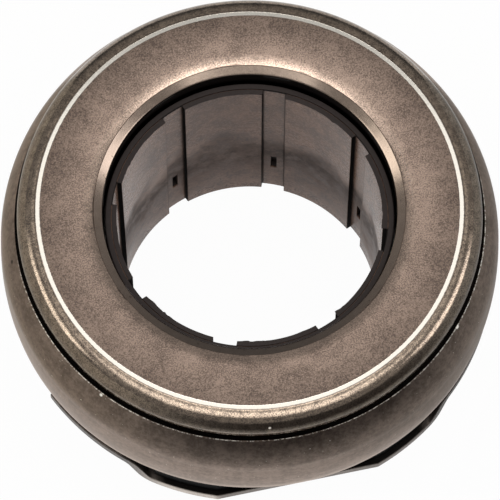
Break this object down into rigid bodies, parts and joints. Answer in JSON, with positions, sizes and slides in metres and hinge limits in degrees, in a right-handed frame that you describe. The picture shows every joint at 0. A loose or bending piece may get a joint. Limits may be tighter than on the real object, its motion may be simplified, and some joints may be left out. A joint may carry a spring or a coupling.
{
  "type": "clutch release bearing",
  "caption": "Clutch release bearing: a flanged steel contact ring turning on caged balls in a fixed outer ring, on a black guide sleeve with a joggled fork plate behind.",
  "frame": {"origin": "on the bearing's axis, at the rear end of the guide sleeve, on which the part stands", "axes": "+Z along the axis towards the clutch, so the contact face is on top; the fork plate's two lugs with flats lie along +Y and -Y"},
  "size_m": [0.0796, 0.0796, 0.0432],
  "materials": {
    "ground_steel": "satin",
    "satin_steel": "satin",
    "plate_steel": "satin",
    "washer_steel": "satin",
    "ball_steel": "polished",
    "black_plastic": "matte",
    "cage_plastic": "matte",
    "seal_rubber": "matte"
  },
  "bodies": {
    "carrier": {"guide_sleeve": "black_plastic", "fork_plate": "plate_steel", "outer_ring": "satin_steel", "front_seal": "seal_rubber", "rear_seal": "seal_rubber", "retaining_washer": "washer_steel"},
    "rotor": {"contact_ring": "ground_steel"},
    "ball_set": {"ball_cage": "cage_plastic", "ball_01": "ball_steel", "ball_02": "ball_steel", "ball_03": "ball_steel", "ball_04": "ball_steel", "ball_05": "ball_steel", "ball_06": "ball_steel", "ball_07": "ball_steel", "ball_08": "ball_steel", "ball_09": "ball_steel", "ball_10": "ball_steel", "ball_11": "ball_steel", "ball_12": "ball_steel", "ball_13": "ball_steel", "ball_14": "ball_steel", "ball_15": "ball_steel", "ball_16": "ball_steel"}
  },
  "joints": [
    {"name": "contact_ring_spin", "type": "hinge", "parent": "carrier", "child": "rotor", "pos_m": [0, 0, 0.0325], "axis": [0, 0, 1], "continuous": true},
    {"name": "cage_orbit", "type": "hinge", "parent": "carrier", "child": "ball_set", "pos_m": [0, 0, 0.0325], "axis": [0, 0, 1], "continuous": true}
  ],
  "couplings": [
    {"joint": "cage_orbit", "follows": "contact_ring_spin", "ratio": 0.4455}
  ]
}
